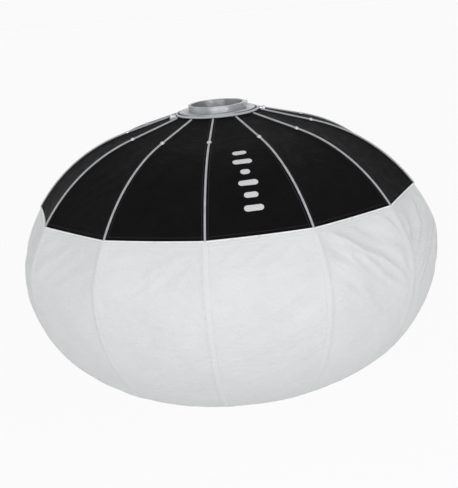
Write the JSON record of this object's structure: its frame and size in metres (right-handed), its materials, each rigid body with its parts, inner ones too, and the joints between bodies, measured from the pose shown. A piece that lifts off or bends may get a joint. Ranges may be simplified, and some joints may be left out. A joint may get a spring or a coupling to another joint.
{
  "type": "lantern softbox",
  "caption": "Collapsible many-ribbed lantern softbox: bayonet mount, rotating rib ring, black cloth top and white round diffuser on folding spring ribs.",
  "frame": {"origin": "centre of the bayonet mount, on the seat plane that meets the lamp", "axes": "+Z along the mount axis up into the lamp; the lantern hangs towards -Z; rib one points along -Y"},
  "size_m": [0.8, 0.8, 0.5525],
  "materials": {
    "bayonet_metal": "turned, satin",
    "clip_steel": "spring steel",
    "glide_plastic": "smooth",
    "ring_paint": "fine-textured black powder coat",
    "screw_steel": "dark oxide",
    "pin_steel": "ground",
    "knob_metal": "knurled, satin",
    "piping": "light grey woven piping",
    "black_cloth": "black coated nylon, silver inside",
    "white_cloth": "white translucent nylon",
    "hub_plastic": "moulded black",
    "cap_plastic": "moulded white",
    "arm_paint": "black, satin",
    "rod_spring": "black glass-fibre rod, steel fittings"
  },
  "bodies": {
    "mount": {"bayonet_ring": "bayonet_metal", "retaining_clip": "clip_steel"},
    "head": {"glide_washer": "glide_plastic", "ring_upper": "ring_paint", "ring_lower": "ring_paint", "ring_screws": "screw_steel", "arm_pins": "pin_steel", "collar_hem": "piping", "top_cover": "black_cloth", "diffuser": "white_cloth"},
    "thumb_left": {"thumb_screw_left": "knob_metal"},
    "thumb_right": {"thumb_screw_right": "knob_metal"},
    "hub": {"hub_plate": "hub_plastic", "hub_top": "hub_plastic", "hub_pins": "pin_steel", "hub_screws": "screw_steel", "base_cap": "cap_plastic", "base_cap_screws": "screw_steel"},
    "upper_01": {"arm_01": "arm_paint", "upper_rod_01": "rod_spring"},
    "lower_01": {"lower_rod_01": "rod_spring"},
    "upper_02": {"arm_02": "arm_paint", "upper_rod_02": "rod_spring"},
    "lower_02": {"lower_rod_02": "rod_spring"},
    "upper_03": {"arm_03": "arm_paint", "upper_rod_03": "rod_spring"},
    "lower_03": {"lower_rod_03": "rod_spring"},
    "upper_04": {"arm_04": "arm_paint", "upper_rod_04": "rod_spring"},
    "lower_04": {"lower_rod_04": "rod_spring"},
    "upper_05": {"arm_05": "arm_paint", "upper_rod_05": "rod_spring"},
    "lower_05": {"lower_rod_05": "rod_spring"},
    "upper_06": {"arm_06": "arm_paint", "upper_rod_06": "rod_spring"},
    "lower_06": {"lower_rod_06": "rod_spring"},
    "upper_07": {"arm_07": "arm_paint", "upper_rod_07": "rod_spring"},
    "lower_07": {"lower_rod_07": "rod_spring"},
    "upper_08": {"arm_08": "arm_paint", "upper_rod_08": "rod_spring"},
    "lower_08": {"lower_rod_08": "rod_spring"},
    "upper_09": {"arm_09": "arm_paint", "upper_rod_09": "rod_spring"},
    "lower_09": {"lower_rod_09": "rod_spring"},
    "upper_10": {"arm_10": "arm_paint", "upper_rod_10": "rod_spring"},
    "lower_10": {"lower_rod_10": "rod_spring"},
    "upper_11": {"arm_11": "arm_paint", "upper_rod_11": "rod_spring"},
    "lower_11": {"lower_rod_11": "rod_spring"},
    "upper_12": {"arm_12": "arm_paint", "upper_rod_12": "rod_spring"},
    "lower_12": {"lower_rod_12": "rod_spring"}
  },
  "joints": [
    {"name": "swivel", "type": "hinge", "parent": "mount", "child": "head", "pos_m": [0, 0, 0], "axis": [0, 0, 1], "continuous": true},
    {"name": "thumb_right_turn", "type": "hinge", "parent": "head", "child": "thumb_right", "pos_m": [0.07727, 0.02071, -0.00875], "axis": [0.9659, 0.2588, 0], "range_deg": [0, 360]},
    {"name": "thumb_left_turn", "type": "hinge", "parent": "head", "child": "thumb_left", "pos_m": [-0.07727, -0.02071, -0.00875], "axis": [-0.9659, -0.2588, 0], "range_deg": [0, 360]},
    {"name": "fold", "type": "hinge", "parent": "head", "child": "upper_01", "pos_m": [0, -0.062, -0.012], "axis": [1, 0, 0], "range_deg": [0, 50], "deforming": ["top_cover", "diffuser"]},
    {"name": "elbow_01", "type": "hinge", "parent": "upper_01", "child": "lower_01", "pos_m": [0, -0.38922, -0.27], "axis": [1, 0, 0], "range_deg": [-100, 0]},
    {"name": "rib_02_fold", "type": "hinge", "parent": "head", "child": "upper_02", "pos_m": [0.031, -0.05369, -0.012], "axis": [0.866, 0.5, 0], "range_deg": [0, 50]},
    {"name": "elbow_02", "type": "hinge", "parent": "upper_02", "child": "lower_02", "pos_m": [0.19461, -0.33707, -0.27], "axis": [0.866, 0.5, 0], "range_deg": [-100, 0]},
    {"name": "rib_03_fold", "type": "hinge", "parent": "head", "child": "upper_03", "pos_m": [0.05369, -0.031, -0.012], "axis": [0.5, 0.866, 0], "range_deg": [0, 50]},
    {"name": "elbow_03", "type": "hinge", "parent": "upper_03", "child": "lower_03", "pos_m": [0.33707, -0.19461, -0.27], "axis": [0.5, 0.866, 0], "range_deg": [-100, 0]},
    {"name": "rib_04_fold", "type": "hinge", "parent": "head", "child": "upper_04", "pos_m": [0.062, 0, -0.012], "axis": [0, 1, 0], "range_deg": [0, 50]},
    {"name": "elbow_04", "type": "hinge", "parent": "upper_04", "child": "lower_04", "pos_m": [0.38922, 0, -0.27], "axis": [0, 1, 0], "range_deg": [-100, 0]},
    {"name": "rib_05_fold", "type": "hinge", "parent": "head", "child": "upper_05", "pos_m": [0.05369, 0.031, -0.012], "axis": [-0.5, 0.866, 0], "range_deg": [0, 50]},
    {"name": "elbow_05", "type": "hinge", "parent": "upper_05", "child": "lower_05", "pos_m": [0.33707, 0.19461, -0.27], "axis": [-0.5, 0.866, 0], "range_deg": [-100, 0]},
    {"name": "rib_06_fold", "type": "hinge", "parent": "head", "child": "upper_06", "pos_m": [0.031, 0.05369, -0.012], "axis": [-0.866, 0.5, 0], "range_deg": [0, 50]},
    {"name": "elbow_06", "type": "hinge", "parent": "upper_06", "child": "lower_06", "pos_m": [0.19461, 0.33707, -0.27], "axis": [-0.866, 0.5, 0], "range_deg": [-100, 0]},
    {"name": "rib_07_fold", "type": "hinge", "parent": "head", "child": "upper_07", "pos_m": [0, 0.062, -0.012], "axis": [-1, 0, 0], "range_deg": [0, 50]},
    {"name": "elbow_07", "type": "hinge", "parent": "upper_07", "child": "lower_07", "pos_m": [0, 0.38922, -0.27], "axis": [-1, 0, 0], "range_deg": [-100, 0]},
    {"name": "rib_08_fold", "type": "hinge", "parent": "head", "child": "upper_08", "pos_m": [-0.031, 0.05369, -0.012], "axis": [-0.866, -0.5, 0], "range_deg": [0, 50]},
    {"name": "elbow_08", "type": "hinge", "parent": "upper_08", "child": "lower_08", "pos_m": [-0.19461, 0.33707, -0.27], "axis": [-0.866, -0.5, 0], "range_deg": [-100, 0]},
    {"name": "rib_09_fold", "type": "hinge", "parent": "head", "child": "upper_09", "pos_m": [-0.05369, 0.031, -0.012], "axis": [-0.5, -0.866, 0], "range_deg": [0, 50]},
    {"name": "elbow_09", "type": "hinge", "parent": "upper_09", "child": "lower_09", "pos_m": [-0.33707, 0.19461, -0.27], "axis": [-0.5, -0.866, 0], "range_deg": [-100, 0]},
    {"name": "rib_10_fold", "type": "hinge", "parent": "head", "child": "upper_10", "pos_m": [-0.062, 0, -0.012], "axis": [0, -1, 0], "range_deg": [0, 50]},
    {"name": "elbow_10", "type": "hinge", "parent": "upper_10", "child": "lower_10", "pos_m": [-0.38922, 0, -0.27], "axis": [0, -1, 0], "range_deg": [-100, 0]},
    {"name": "rib_11_fold", "type": "hinge", "parent": "head", "child": "upper_11", "pos_m": [-0.05369, -0.031, -0.012], "axis": [0.5, -0.866, 0], "range_deg": [0, 50]},
    {"name": "elbow_11", "type": "hinge", "parent": "upper_11", "child": "lower_11", "pos_m": [-0.33707, -0.19461, -0.27], "axis": [0.5, -0.866, 0], "range_deg": [-100, 0]},
    {"name": "rib_12_fold", "type": "hinge", "parent": "head", "child": "upper_12", "pos_m": [-0.031, -0.05369, -0.012], "axis": [0.866, -0.5, 0], "range_deg": [0, 50]},
    {"name": "elbow_12", "type": "hinge", "parent": "upper_12", "child": "lower_12", "pos_m": [-0.19461, -0.33707, -0.27], "axis": [0.866, -0.5, 0], "range_deg": [-100, 0]},
    {"name": "hub_level", "type": "hinge", "parent": "lower_01", "child": "hub", "pos_m": [0, -0.062, -0.528], "axis": [1, 0, 0], "range_deg": [0, 50]}
  ],
  "couplings": [
    {"joint": "elbow_01", "follows": "fold", "ratio": -2},
    {"joint": "rib_02_fold", "follows": "fold", "ratio": 1},
    {"joint": "elbow_02", "follows": "fold", "ratio": -2},
    {"joint": "rib_03_fold", "follows": "fold", "ratio": 1},
    {"joint": "elbow_03", "follows": "fold", "ratio": -2},
    {"joint": "rib_04_fold", "follows": "fold", "ratio": 1},
    {"joint": "elbow_04", "follows": "fold", "ratio": -2},
    {"joint": "rib_05_fold", "follows": "fold", "ratio": 1},
    {"joint": "elbow_05", "follows": "fold", "ratio": -2},
    {"joint": "rib_06_fold", "follows": "fold", "ratio": 1},
    {"joint": "elbow_06", "follows": "fold", "ratio": -2},
    {"joint": "rib_07_fold", "follows": "fold", "ratio": 1},
    {"joint": "elbow_07", "follows": "fold", "ratio": -2},
    {"joint": "rib_08_fold", "follows": "fold", "ratio": 1},
    {"joint": "elbow_08", "follows": "fold", "ratio": -2},
    {"joint": "rib_09_fold", "follows": "fold", "ratio": 1},
    {"joint": "elbow_09", "follows": "fold", "ratio": -2},
    {"joint": "rib_10_fold", "follows": "fold", "ratio": 1},
    {"joint": "elbow_10", "follows": "fold", "ratio": -2},
    {"joint": "rib_11_fold", "follows": "fold", "ratio": 1},
    {"joint": "elbow_11", "follows": "fold", "ratio": -2},
    {"joint": "rib_12_fold", "follows": "fold", "ratio": 1},
    {"joint": "elbow_12", "follows": "fold", "ratio": -2},
    {"joint": "hub_level", "follows": "fold", "ratio": 1}
  ]
}
